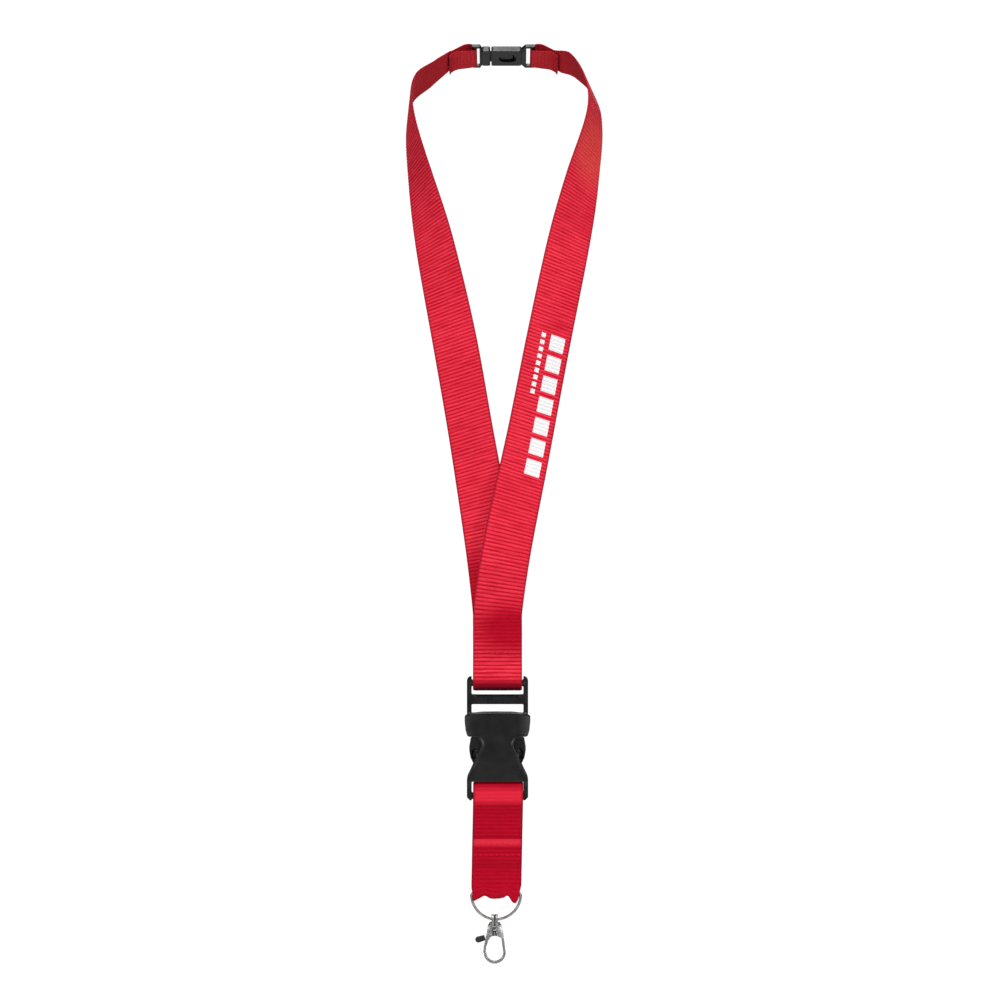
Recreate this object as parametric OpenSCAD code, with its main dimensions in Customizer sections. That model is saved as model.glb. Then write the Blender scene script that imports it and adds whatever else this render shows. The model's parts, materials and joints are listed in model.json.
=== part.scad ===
// Webbing lanyard as it hangs round a neck: a neck loop with a breakaway clip at the nape, a side-release
// buckle under the yoke, and a drop strap that carries a D-ring and a swivelling trigger hook.
// Millimetres. +Z is up, -Y is the wearer's front, and the origin is the point at the nape that it hangs from.

/* [Webbing] */
// Width of the webbing
strap_w = 25; // [24:0.1:25.4]
// Thickness of the webbing
strap_t = 1.2; // [1:0.05:1.3]
// Width of the webbing where it is sewn together at the yoke
yoke_w = 24.5; // [24:0.1:25]

/* [Layout] */
// How far the front of the lanyard hangs ahead of the nape
front_reach = 140; // [138:1:142]
// Depth of the yoke seam below the nape
yoke_drop = 329; // [328:0.5:330]
// Depth of the top edge of the side-release buckle below the nape
buckle_drop = 359; // [358.5:0.5:360]

/* [Breakaway clip] */
// How far the clip leans back on the slope of the neck, in degrees
clip_lean = 58; // [54:1:62]
// Width of the clip
clip_w = 11.7; // [11.4:0.1:12]
// Thickness of the clip
clip_t = 4; // [3.9:0.1:4.4]
// Width of the webbing where it is folded for the clip
clip_fold_w = 13; // [12.4:0.1:13.2]

/* [Side-release buckle] */
// Width of the buckle socket at its mouth
buckle_w = 32.8; // [32.6:0.1:33.4]
// Thickness of the buckle socket
buckle_t = 8.4; // [8.2:0.1:9]
// Clear width of the slots that the webbing passes through
slot_w = 25.9; // [25.7:0.1:26]
// Radius of the bars that the webbing turns round
bar_r = 1.7; // [1.5:0.1:1.8]

/* [D-ring] */
// Thickness of the D-ring's wire
ring_wire = 1.2; // [1.1:0.1:1.3]
// Width of the D-ring between the middles of its two legs
ring_w = 24.6; // [24.4:0.1:25]
// How far to the side of the middle the D-ring hangs
ring_side = -0.7; // [-0.8:0.1:-0.4]

/* [Hook] */
// How far to the side of the middle the hook hangs in the D-ring
hook_side = -1.4; // [-1.5:0.1:-1]
// Inner radius of the hook's bow
bow_r = 4.3; // [4.1:0.1:4.4]
// Thickness of the bow
bow_wire = 1.2; // [1.1:0.1:1.3]
// Length of the hook's thumb tab
tab_len = 3.4; // [3.2:0.1:4]

/* [Hidden] */
$fn = 32;

red = "crimson";
thread_red = "firebrick";
black = "dimgray";
steel = "silver";

// Heights
yoke_z = -yoke_drop;
strap_end_z = yoke_z + 5;
buckle_z = -buckle_drop;
plug_bar_z = buckle_z + 14.6;
socket_bar_z = buckle_z - 41.8;
ring_bar_z = buckle_z - 90.4;
ring_drop = 13.2;
wire_z = ring_bar_z - ring_drop;
layer = strap_t / 2 + 0.05;

// The neck webbing's routes, from the yoke up to the nape: x, y, z, the turn of its face about the upright
// axis, the lean of its face, and its width. The last point is where its two layers are sewn together.
clip_left_bar = -13.8;
clip_right_bar = 20.3;
route_left = [
    [0, -140 + layer, strap_end_z + 0.1, 0, 0, yoke_w],
    [0, -140 + layer + 0.1, strap_end_z + 6, 0, 0, yoke_w],
    [-0.5, -138.4, -305, 2, 0, yoke_w],
    [-4.5, -129.8, -273, 14, 0, strap_w],
    [-13, -110, -223, 24, 0, strap_w],
    [-22.5, -92, -170, 24, 0, strap_w],
    [-33, -76, -120, 36, 0, strap_w],
    [-42, -61, -80, 58, 5, strap_w],
    [-48, -49, -46, 79, 16, strap_w],
    [-46.5, -32, -26, 88, 16, 24],
    [-36.5, -14, -13, 88, 26, 19.5],
    concat(on_clip(clip_left_bar - 13.7, -4), [90, 90 - clip_lean, 14.5])
];
route_right = [
    [0, -140 - layer, strap_end_z + 0.1, 0, 0, yoke_w],
    [0, -140 - layer - 0.1, strap_end_z + 6, 0, 0, yoke_w],
    [0.5, -141.6, -305, 2, 0, yoke_w],
    [5.5, -135.2, -273, 14, 0, strap_w],
    [16, -114, -223, 22, 0, strap_w],
    [26.5, -96, -170, 24, 0, strap_w],
    [37, -79, -120, 28, 0, strap_w],
    [46, -64, -80, 46, 0, strap_w],
    [53, -51, -46, 68, 16, strap_w],
    [51, -32, -24, 76, 12, 24],
    [43, -14, -9, 80, 30, 19],
    concat(on_clip(clip_right_bar + 13.7, -4), [90, 90 - clip_lean, 14.5])
];
// The folded end, from the seam round the clip's bar and back: distance from the bar, distance in front of
// the clip's middle plane, and width.
fold = [
    [13.7, -4, 14.5], [9.2, -0.8, 14.5], [5.2, 2.1, 14], [2, 2.9, 13.4], [-0.8, 1.9, 13], [-1.7, 0, 13],
    [-0.9, -1.8, 13], [1.7, -2.5, 13.4], [5.2, -2.9, 14], [9.2, -3.4, 14.5], [12.4, -5.4, 14.5],
    [13.6, -7.4, 14.5]
];

// A point given on the clip: x, and the distance d behind its middle plane
function on_clip(x, d) = [x, d * cos(clip_lean), d * sin(clip_lean)];

// A smooth curve through the points of p, with n steps between two neighbours
function at(p, i) = i < 0 ? 2 * p[0] - p[1]
    : i > len(p) - 1 ? 2 * p[len(p) - 1] - p[len(p) - 2]
    : p[i];
function blend4(a, b, c, d, t) =
    0.5 * (2 * b + (c - a) * t + (2 * a - 5 * b + 4 * c - d) * t * t + (3 * b - a - 3 * c + d) * t * t * t);
function smooth(p, n) = [
    for (i = [0 : len(p) - 2])
        for (k = [0 : n - 1])
            blend4(at(p, i - 1), p[i], p[i + 1], at(p, i + 2), k / n),
    p[len(p) - 1]
];
function place(s) = [s[0], s[1], s[2]];
function unit(v) = v / norm(v);

// Across the webbing at station s, square to its direction along; side is 1 on the left and -1 on the right
function across(s, along, side) =
    let (w = [side * cos(s[3]) * cos(s[4]), -sin(s[3]) * cos(s[4]), sin(s[4])])
    unit(w - (w * along) * along);
function direction(s, i) = unit(place(s[min(i + 1, len(s) - 1)]) - place(s[max(i - 1, 0)]));
function section(s, i, side) =
    let (along = direction(s, i))
    let (w = across(s[i], along, side) * s[i][5] / 2)
    let (n = cross(along, unit(w)) * strap_t / 2)
    let (c = place(s[i]))
    [c - w - n, c + w - n, c + w + n, c - w + n];

// Flat webbing swept along the stations s
module webbing(s, side) {
    count = len(s);
    points = [for (i = [0 : count - 1]) each section(s, i, side)];
    faces = [
        [0, 1, 2, 3],
        [for (k = [3 : -1 : 0]) 4 * (count - 1) + k],
        for (i = [0 : count - 2])
            for (k = [0 : 3])
                let (a = 4 * i + k, b = 4 * i + (k + 1) % 4)
                each k < 2 ? [[a, a + 4, b + 4], [a, b + 4, b]] : [[a, a + 4, b], [b, a + 4, b + 4]]
    ];
    polyhedron(points, faces);
}

// A neck strap: its hanging route and then its folded end; away is the side that the strap leaves towards
module neck_strap(route, bar, away) {
    end = [for (f = fold) concat(on_clip(bar + away * f[0], f[1]), [90, 90 - clip_lean, f[2]])];
    color(red) webbing(concat(smooth(route, 6), [for (s = smooth(end, 2)) if (s != end[0]) s]), -away);
}

module neck_strap_right() {
    neck_strap(route_right, clip_right_bar, 1);
}

module neck_strap_left() {
    neck_strap(route_left, clip_left_bar, -1);
}

// A profile given in the plane across the webbing, drawn w wide; its first axis runs back and its second up
module wide(w) {
    translate([-w / 2, -front_reach, 0]) rotate([90, 0, 90]) linear_extrude(w) children();
}

// One bight of webbing: layers spread by gap at the round end z0, and met between z1 and z2
module bight(gap, z0, z1, z2, grow) {
    spread = gap + grow;
    met = 0.05 + grow;
    translate([0, z0]) circle(spread);
    polygon([[spread, z0], [met, z1], [met, z2], [-met, z2], [-met, z1], [-spread, z0]]);
}

loop_gap = 2.2;
loop_z = plug_bar_z - 0.6;
module yoke_loop() {
    color(red) wide(yoke_w) difference() {
        bight(loop_gap, loop_z, loop_z + 13, strap_end_z, strap_t);
        bight(loop_gap, loop_z, loop_z + 13, strap_end_z + 1, 0);
    }
}

// A single stitch: thread of length l on the webbing's face, turned by a
module stitch(l, a) {
    rotate([0, 90 - a, 0]) cylinder(h = l, r = 0.22, center = true, $fn = 8);
}

// Stitches across the folded end at a clip bar, on both faces
module end_stitching(bar, away) {
    steps = 5;
    pitch = 13 / steps;
    color(thread_red)
        for (face = [-1, 1])
            for (i = [0 : steps - 1])
                translate(on_clip(bar + away * 12, -4 + face * 1.9))
                    rotate([clip_lean, 0, 0])
                        translate([0, 0, (i - (steps - 1) / 2) * pitch]) stitch(1.9, 90);
}

module right_end_stitching() {
    end_stitching(clip_right_bar, 1);
}

module left_end_stitching() {
    end_stitching(clip_left_bar, -1);
}

// The zigzag seam at the yoke, on both faces
module yoke_stitching() {
    steps = 12;
    pitch = (yoke_w - 3) / steps;
    color(thread_red)
        for (face = [-1, 1])
            for (i = [0 : steps - 1])
                translate([(i - (steps - 1) / 2) * pitch, face * (strap_t + 0.15) - front_reach, yoke_z])
                    stitch(2, i % 2 == 0 ? 40 : -40);
}

// A plate in the plane of the clip, t thick, with its corners rounded by r
module clip_plate(x0, x1, w, t, r) {
    rotate([clip_lean, 0, 0]) rotate([90, 0, 0]) translate([0, 0, -t / 2]) linear_extrude(t) {
        translate([x0 + r, -w / 2]) square([x1 - x0 - 2 * r, w]);
        translate([x0, r - w / 2]) square([x1 - x0, w - 2 * r]);
        for (x = [x0 + r, x1 - r])
            for (z = [r - w / 2, w / 2 - r])
                translate([x, z]) circle(r);
    }
}

// The neck, the two arms and the bar that hold the webbing: end is the body's end, bar the bar's place
module clip_loop(end, neck, bar, away) {
    arm_z = clip_fold_w / 2 + 1.1;
    tip = end + away * neck;
    clip_plate(min(end - away, tip), max(end - away, tip), 10.6, 3, 0.6);
    rotate([clip_lean, 0, 0]) {
        for (side = [-1, 1]) {
            rotate([90, 0, 0]) translate([0, 0, -1.1]) linear_extrude(2.2) polygon([
                [end - away * 0.5, side * 3.4], [end - away * 0.5, side * 5.3],
                [end + away * 0.8 * neck, side * (arm_z + 0.7)], [bar, side * (arm_z + 0.7)],
                [bar, side * (arm_z - 0.7)], [tip, side * (arm_z - 0.7)],
                [end + away * 0.85 * neck, side * 3.4]
            ]);
            translate([bar, 0, side * arm_z]) cylinder(h = 1.4, r = 1.1, center = true);
        }
        translate([bar, 0, 0]) cylinder(h = 2 * arm_z, r = 0.95, center = true);
    }
}

socket_mouth = -3.7;
plug_face = -4.3;
module breakaway_socket() {
    color(black) difference() {
        union() {
            clip_plate(socket_mouth, 13.4, clip_w, clip_t, 1);
            clip_loop(13.4, 2.8, clip_right_bar, 1);
        }
        clip_plate(socket_mouth - 2, 9.5, 8.4, 2.2, 0.4);
        rotate([clip_lean, 0, 0]) translate([0, -clip_t / 2, 0]) clip_window();
    }
}

// The oval window in the face that shows the plug's latch
module clip_window() {
    rotate([90, 0, 0]) translate([0, 0, -1.4]) linear_extrude(2.8) {
        translate([3.4, -2.7]) square([4.4, 5.4]);
        for (x = [3.4, 7.8])
            translate([x, 0]) circle(2.7);
    }
}

module breakaway_plug() {
    color(black) {
        clip_plate(-9, plug_face, clip_w, clip_t, 1);
        clip_loop(-9, 1.4, clip_left_bar, -1);
        clip_plate(plug_face - 1, 5, 7.2, 1.4, 0.3);
        rotate([clip_lean, 0, 0]) rotate([90, 0, 0]) translate([0, 0, -0.7]) linear_extrude(1.4)
            polygon([[4, -3.6], [4, 3.6], [8.6, 1], [8.6, -1]]);
    }
}

// A plate in the plane of the buckle, t thick, with z measured from the socket's top edge
module buckle_plate(t) {
    translate([0, -front_reach, buckle_z]) rotate([90, 0, 0]) translate([0, 0, -t / 2]) linear_extrude(t)
        children();
}

module mirrored_x() {
    children();
    mirror([1, 0]) children();
}

module rounded_box(x0, y0, w, h, r) {
    translate([x0 + r, y0]) square([w - 2 * r, h]);
    translate([x0, y0 + r]) square([w, h - 2 * r]);
    for (x = [x0 + r, x0 + w - r])
        for (y = [y0 + r, y0 + h - r])
            translate([x, y]) circle(r);
}

// A webbing bar between the rails at height z
module webbing_bar(z) {
    translate([0, -front_reach, z]) rotate([0, 90, 0]) cylinder(h = slot_w + 1, r = bar_r, center = true);
}

rail_x = 15.3;
shoulder_t = 5.2;
arm_root = [11.2, -4.2];
module buckle_plug_frame() {
    color(black) {
        difference() {
            union() {
                buckle_plate(3) difference() {
                    rounded_box(-rail_x, -3, 2 * rail_x, 21, 2.4);
                    translate([-slot_w / 2, 8.9]) square([slot_w, 7.2]);
                    translate([-slot_w / 2, -0.4]) square([slot_w, 4.4]);
                }
                buckle_plate(shoulder_t) translate([-rail_x + 0.1, -4]) square([2 * rail_x - 0.2, 3.6]);
                buckle_plate(3.4) polygon([[-3.1, -3], [3.1, -3], [3.1, -22], [1.2, -26], [-1.2, -26], [-3.1, -22]]);
            }
            translate([0, -front_reach, buckle_z + 16.2]) cube([slot_w, 10, 4.3], center = true);
            buckle_plate(shoulder_t + 1) mirrored_x() {
                translate(arm_root) circle(1.4);
                translate([arm_root[0] - 1.4, -6]) square([2.8, 1.8]);
            }
        }
        webbing_bar(plug_bar_z);
    }
}

module buckle_arm() {
    color(black) buckle_plate(4.6) {
        translate(arm_root) circle(1.2);
        polygon([
            [12.2, -4.4], [10.1, -4.4], [9.3, -10], [7.7, -12.6], [7.7, -18], [11, -25], [12, -25.6],
            [13.5, -22.5], [14.1, -19], [14.1, -17], [13.4, -12.9], [12.2, -12.6]
        ]);
    }
}

module buckle_arm_right() {
    buckle_arm();
}

module buckle_arm_left() {
    mirror([1, 0, 0]) buckle_arm();
}

// The socket seen from the front: shoulders, thumb windows, waist and the rails of its webbing slot
module socket_outline() {
    difference() {
        mirrored_x() polygon([
            [-1, 0], [8, -0.1], [14.2, -0.8], [buckle_w / 2, -2], [buckle_w / 2, -4.5], [15.9, -9],
            [15.1, -11.6], [14, -12], [12.4, -12], [12.4, -26.4], [13.3, -28.4], [rail_x - 0.4, -31.6],
            [rail_x, -33.4], [rail_x, -42.4], [rail_x - 1.6, -44], [-1, -44]
        ]);
        mirrored_x() {
            translate([12.2, -16]) circle(4);
            polygon([[8.6, -17.8], [12.4, -26.4], [13, -26.4], [13, -12], [12.2, -12]]);
        }
        translate([-slot_w / 2, -45]) square([slot_w, 10.4]);
    }
}

// The hollow that takes the plug, its ledges behind the barbs of the arms
module socket_hollow() {
    mirrored_x() polygon([
        [-1, 1], [15.5, 1], [15.5, -6], [12.7, -8.6], [12.7, -27], [9, -28.4], [-1, -28.4]
    ]);
}

module socket_side() {
    half = buckle_t / 2;
    polygon([
        [-half + 0.6, 1], [-half, -2], [-half, -24], [-3, -34], [-2.3, -37], [-2.3, -45],
        [2.3, -45], [2.3, -37], [3, -34], [half, -24], [half, -2], [half - 0.6, 1]
    ]);
}

module buckle_socket() {
    color(black) {
        intersection() {
            difference() {
                buckle_plate(buckle_t + 2) socket_outline();
                buckle_plate(5.8) difference() {
                    socket_hollow();
                    mirrored_x() translate([3.5, -29]) square([1.2, 14]);
                }
            }
            translate([0, 0, buckle_z]) wide(buckle_w + 2) socket_side();
        }
        webbing_bar(socket_bar_z);
    }
}

drop_top_z = socket_bar_z + 3.6;
fold_gap = ring_wire / 2 + 0.4;
overlap_z = buckle_z - 75;
module drop_strap() {
    color(red) difference() {
        union() {
            wide(strap_w) difference() {
                drop_outline(strap_t);
                drop_outline(0);
            }
            translate([-strap_w / 2, -front_reach - 2 * strap_t - 0.05, overlap_z])
                cube([strap_w, strap_t + 0.05, 12]);
        }
        for (side = [-1, 1])
            translate([ring_side + side * (strap_w / 2 + 1), -front_reach, ring_bar_z - 2])
                cube([4.4, 8, 8], center = true);
    }
}

// The closed band seen from its edge: round over the socket bar, met in the middle, round under the D-ring
module drop_outline(grow) {
    over = loop_gap + grow;
    met = 0.05 + grow;
    under = fold_gap + grow;
    translate([0, drop_top_z]) circle(over);
    translate([0, ring_bar_z]) circle(under);
    polygon([
        [-over, drop_top_z], [-over, socket_bar_z - 3], [-met, socket_bar_z - 13],
        [-met, ring_bar_z + 9], [-under, ring_bar_z], [under, ring_bar_z], [met, ring_bar_z + 9],
        [met, socket_bar_z - 13], [over, socket_bar_z - 3], [over, drop_top_z]
    ]);
}

// Two rows of stitches that close the overlap
module drop_strap_stitching() {
    steps = 8;
    pitch = (strap_w - 3) / steps;
    color(thread_red)
        for (i = [0 : steps - 1])
            for (z = [overlap_z + 4, overlap_z + 9.5])
                for (y = [-2 * strap_t - 0.2, strap_t + 0.15])
                    translate([(i - (steps - 1) / 2) * pitch, y - front_reach, z]) stitch(2, 0);
}

// A D-shaped wire: the straight bar in the webbing's fold and the round bow under it
module d_ring() {
    leg = ring_w / 2;
    color(steel) translate([ring_side, -front_reach, ring_bar_z]) {
        rotate([0, 90, 0]) cylinder(h = ring_w, d = ring_wire, center = true);
        for (side = [-1, 1]) {
            translate([side * leg, 0, 0]) sphere(d = ring_wire);
            translate([side * leg, 0, leg - ring_drop]) cylinder(h = ring_drop - leg, d = ring_wire);
        }
        translate([0, 0, leg - ring_drop]) rotate([-90, 0, 0])
            rotate_extrude(angle = 180, $fn = 64) translate([leg, 0]) circle(d = ring_wire);
    }
}

// Heights on the hook, from the D-ring's lowest wire
eye_z = wire_z - 0.65;
eye_hole_r = 1.5;
eye_r = 3.2;
flange_z = wire_z - 2.6;
hook_top = wire_z - 2.8;
collar_z = wire_z - 5.2;
shank_r = 1;
pin_x = -2.2;
pin_z = wire_z - 7;
pin_r = 0.5;
bow_z = wire_z - 16.6;
bow_mid_r = bow_r + bow_wire / 2;
gate_reach = 9.5;
gate_t = 1.4;

module on_hook(z) {
    translate([hook_side, -front_reach, z]) children();
}

module swivel_eye() {
    color(steel) difference() {
        union() {
            on_hook(eye_z) rotate([0, 90, 0]) cylinder(h = 3.2, r = eye_r, center = true);
            on_hook(flange_z) cylinder(h = 0.9, r = 2.9);
            on_hook(collar_z) cylinder(h = flange_z - collar_z + 0.5, r = shank_r);
        }
        on_hook(eye_z) rotate([0, 90, 0]) cylinder(h = 8, r = eye_hole_r, center = true);
        on_hook(flange_z - 3) difference() {
            cylinder(h = 3, r = 6);
            translate([0, 0, -1]) cylinder(h = 5, r = shank_r);
        }
    }
}

module swivel_collar() {
    color(steel) on_hook(collar_z) difference() {
        cylinder(h = 0.8, r = 1.6);
        translate([0, 0, -1]) cylinder(h = 3, r = shank_r);
    }
}

// A plate in the plane of the hook, t thick, with z measured from the D-ring's lowest wire
module hook_plate(t) {
    on_hook(wire_z) rotate([90, 0, 0]) translate([0, 0, -t / 2]) linear_extrude(t) children();
}

// A pin of radius r through the hook where the lever turns
module across_hook(length, r) {
    on_hook(pin_z) translate([pin_x, 0, 0]) rotate([90, 0, 0]) cylinder(h = length, r = r, center = true);
}

pin_at = [pin_x, pin_z - wire_z];
module hook_body() {
    top = hook_top - wire_z;
    color(steel) difference() {
        union() {
            hook_plate(3.8) polygon([
                [-3.3, top], [3.3, top], [4.4, -8.6], [3.2, -9.2], [1.4, -8.2], [-1, -8.2], [-2.6, -9],
                [-4.2, -8.6]
            ]);
            hook_plate(1.8) polygon([
                [3, -7.4], [4.3, -7.6], [bow_mid_r + 0.6, -16.6], [bow_mid_r - 0.6, -16.6], [3.2, -9]
            ]);
            on_hook(bow_z) rotate([-90, 0, 0]) rotate_extrude(angle = 180, $fn = 64)
                translate([bow_r, -0.9]) square([bow_wire, 1.8]);
        }
        on_hook(hook_top - 3) cylinder(h = 6, r = shank_r + 0.06);
        on_hook(hook_top - 3.1) cylinder(h = 1.7, r = 2);
        hook_plate(gate_t + 0.4) gate_channel();
        across_hook(6, pin_r);
        hook_plate(4) translate([bow_r * -1 - 4, -17]) square([4, 0.6]);
        hook_plate(4) translate(pin_at) intersection() {
            circle(gate_reach + 0.2, $fn = 96);
            translate([-8, -12]) square([6, 9]);
        }
    }
}

// Where the lever and its spring lie in the body
module gate_channel() {
    translate(pin_at) circle(1.5);
    polygon([[-6, -6.4], [-3.4, -5.8], [3.2, -6.6], [3.2, -8.6], [2, -10], [-6, -10]]);
}

// The lever from its pin down to the end of the bow
module gate_lever() {
    color(steel) difference() {
        hook_plate(gate_t) {
            translate(pin_at) circle(1.2);
            intersection() {
                polygon([
                    [-4.4, -8.4], [-4.6, -10.4], [-5.5, -13.6], [-5.5, -18], [-4.35, -18], [-4.35, -14],
                    [-3.1, -10.6], [-1.2, -7.6], [-3.3, -6.6]
                ]);
                translate(pin_at) circle(gate_reach, $fn = 96);
            }
        }
        across_hook(6, pin_r + 0.06);
    }
}

tab_at = [-4.9, -9.2];
tab_fall = 16;
module thumb_tab() {
    color("black") on_hook(wire_z) translate([tab_at[0], 0, tab_at[1]]) rotate([0, -90 - tab_fall, 0]) {
        cylinder(h = tab_len, r1 = 1.35, r2 = 1.55);
        translate([0, 0, tab_len]) sphere(r = 1.55);
    }
}

module gate_pin() {
    color(steel) across_hook(4, pin_r);
}

// Coils of the little spring that pushes the lever shut
module gate_spring() {
    coils = 4;
    color(steel) for (i = [0 : coils - 1])
        on_hook(wire_z - 7.7) translate([-0.1 + i * 0.8, 0, 0]) rotate([0, 90, 0])
            rotate_extrude() translate([0.55, 0]) circle(0.15, $fn = 16);
}

neck_strap_right();
neck_strap_left();
yoke_loop();
right_end_stitching();
left_end_stitching();
yoke_stitching();
breakaway_socket();
breakaway_plug();
buckle_plug_frame();
buckle_arm_left();
buckle_arm_right();
buckle_socket();
drop_strap();
drop_strap_stitching();
d_ring();
swivel_eye();
swivel_collar();
hook_body();
gate_lever();
thumb_tab();
gate_pin();
gate_spring();
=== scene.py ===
"""A webbing lanyard as it hangs round a neck.

The neck loop of ribbed webbing closes with a breakaway clip at the nape. A side-release buckle hangs under
the yoke, and a short drop strap under it carries a D-ring and a swivelling trigger hook.
"""

import json
import logging
import math
from dataclasses import dataclass, field
from enum import Enum
from functools import reduce

import bmesh
import bpy
import numpy as np
from mathutils import Matrix, Vector

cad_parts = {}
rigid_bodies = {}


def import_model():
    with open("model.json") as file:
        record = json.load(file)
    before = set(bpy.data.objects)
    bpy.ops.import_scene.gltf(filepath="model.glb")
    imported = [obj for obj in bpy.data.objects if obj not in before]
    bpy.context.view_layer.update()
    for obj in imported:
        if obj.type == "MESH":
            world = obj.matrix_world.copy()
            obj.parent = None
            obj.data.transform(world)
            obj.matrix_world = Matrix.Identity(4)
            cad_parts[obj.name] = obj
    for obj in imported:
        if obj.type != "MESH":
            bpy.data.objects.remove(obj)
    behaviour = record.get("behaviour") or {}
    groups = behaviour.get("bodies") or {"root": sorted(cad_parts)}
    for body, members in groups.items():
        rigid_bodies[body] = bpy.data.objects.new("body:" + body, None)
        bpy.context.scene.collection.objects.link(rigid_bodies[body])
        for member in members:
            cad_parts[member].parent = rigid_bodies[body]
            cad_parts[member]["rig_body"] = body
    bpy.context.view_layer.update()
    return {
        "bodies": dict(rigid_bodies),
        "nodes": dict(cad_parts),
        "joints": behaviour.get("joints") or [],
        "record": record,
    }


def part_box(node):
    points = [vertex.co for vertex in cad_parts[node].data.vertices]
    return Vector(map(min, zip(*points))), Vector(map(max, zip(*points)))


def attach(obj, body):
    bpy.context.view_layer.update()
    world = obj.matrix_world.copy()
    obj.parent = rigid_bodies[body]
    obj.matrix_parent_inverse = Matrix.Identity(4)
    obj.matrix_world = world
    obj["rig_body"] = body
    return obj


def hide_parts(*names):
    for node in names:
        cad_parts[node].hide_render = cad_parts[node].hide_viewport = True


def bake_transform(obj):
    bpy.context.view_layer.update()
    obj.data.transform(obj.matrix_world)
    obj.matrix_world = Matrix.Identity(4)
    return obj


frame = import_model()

LOG = logging.getLogger("lanyard")

Array = np.ndarray
Node = bpy.types.Node
Socket = bpy.types.NodeSocket
Object = bpy.types.Object
Material = bpy.types.Material
Triple = tuple[float, float, float]
Colour = tuple[float, ...]
Outline = list[tuple[float, float]]

# Sizes are in millimetres, and MM turns them into metres where a mesh is made.
MM = 0.001
FRONT_Y = -140.0  # the plane that the buckle and the drop strap hang in
STRAP_END_Z = -324.0  # where the neck straps end and the loop under the yoke begins
LAYER = 0.65  # how far each of two layers of webbing lies from the plane between them
CLIP_LEAN = math.radians(58)  # how far the clip at the nape leans back
UPRIGHT = Matrix.Identity(3)
WHITE = (1, 1, 1, 1)


class Side(Enum):
    """Which way a neck strap leaves the yoke; the value is the sign of its face's direction."""

    LEFT = 1
    RIGHT = -1


class Slot(Enum):
    """The record's material slots."""

    WEBBING = "webbing"
    THREAD = "thread"
    PLASTIC = "plastic"
    STEEL = "steel"
    TAB = "tab"


# --- node helpers


class Nodes:
    """A node tree that is built in the script, with short ways to add and join its nodes."""

    def __init__(self, tree: bpy.types.NodeTree) -> None:
        """Takes the tree to build in."""
        self.tree = tree

    def plug(self, value: object, socket: Socket) -> None:
        """Feeds an input.

        Args:
            value: an output socket to join to it, or a plain value to set it to.
            socket: the input.
        """
        if isinstance(value, Socket):
            self.tree.links.new(value, socket)
        else:
            socket.default_value = value

    def add(self, kind: str, inputs: dict[object, object] | None = None, **settings: object) -> Node:
        """Adds a node.

        Args:
            kind: the node's type name.
            inputs: a value or an output socket for each named or numbered input.
            settings: the node's own properties.

        Returns:
            The new node.
        """
        node = self.tree.nodes.new(kind)
        for key, value in settings.items():
            setattr(node, key, value)
        for key, value in (inputs or {}).items():
            self.plug(value, node.inputs[key])
        return node

    def math(self, operation: str, *values: object) -> Socket:
        """Adds a Math node and returns its output."""
        return self.add("ShaderNodeMath", dict(enumerate(values)), operation=operation).outputs[0]

    def times(self, *values: object) -> Socket:
        """Multiplies values and returns the product."""
        return reduce(lambda a, b: self.math("MULTIPLY", a, b), values)

    def vector(self, x: object = 0.0, y: object = 0.0, z: object = 0.0) -> Socket:
        """Returns a vector made of three values."""
        return self.add("ShaderNodeCombineXYZ", {0: x, 1: y, 2: z}).outputs[0]

    def spread(self, value: object, low: float, high: float, to_low: float, to_high: float) -> Socket:
        """Maps a value from one range to another, clamped, and returns it."""
        inputs = {"Value": value, "From Min": low, "From Max": high, "To Min": to_low, "To Max": to_high}
        return self.add("ShaderNodeMapRange", inputs).outputs["Result"]


class Shader(Nodes):
    """A material's nodes round one Principled surface."""

    def __init__(self, name: str) -> None:
        """Starts a material.

        Args:
            name: the material's name.
        """
        self.material = bpy.data.materials.new(name)
        self.material.use_nodes = True
        super().__init__(self.material.node_tree)

    def attribute(self, name: str) -> Socket:
        """Returns a mesh attribute's value."""
        return self.add("ShaderNodeAttribute", attribute_name=name).outputs["Fac"]

    def place(self) -> Socket:
        """Returns the Object coordinates."""
        return self.add("ShaderNodeTexCoord").outputs["Object"]

    def noise(self, vector: object, scale: float, detail: float = 3.0, rough: float = 0.5) -> Socket:
        """Adds a noise texture and returns its value."""
        inputs = {"Vector": vector, "Scale": scale, "Detail": detail, "Roughness": rough}
        return self.add("ShaderNodeTexNoise", inputs).outputs["Fac"]

    def mix(self, share: object, a: object, b: object) -> Socket:
        """Mixes two colours by share and returns the colour."""
        return self.add("ShaderNodeMix", {0: share, 6: a, 7: b}, data_type="RGBA").outputs[2]

    def bump(self, height: object, strength: float, distance: float) -> Socket:
        """Returns the normal of a surface with a bump of that height."""
        inputs = {"Strength": strength, "Distance": distance, "Height": height}
        return self.add("ShaderNodeBump", inputs).outputs["Normal"]

    def finish(self, values: dict[str, object]) -> Material:
        """Feeds the surface.

        Args:
            values: a value or an output socket for each named input of the surface.

        Returns:
            The material.
        """
        for name, value in values.items():
            self.plug(value, self.tree.nodes["Principled BSDF"].inputs[name])
        return self.material


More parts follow.
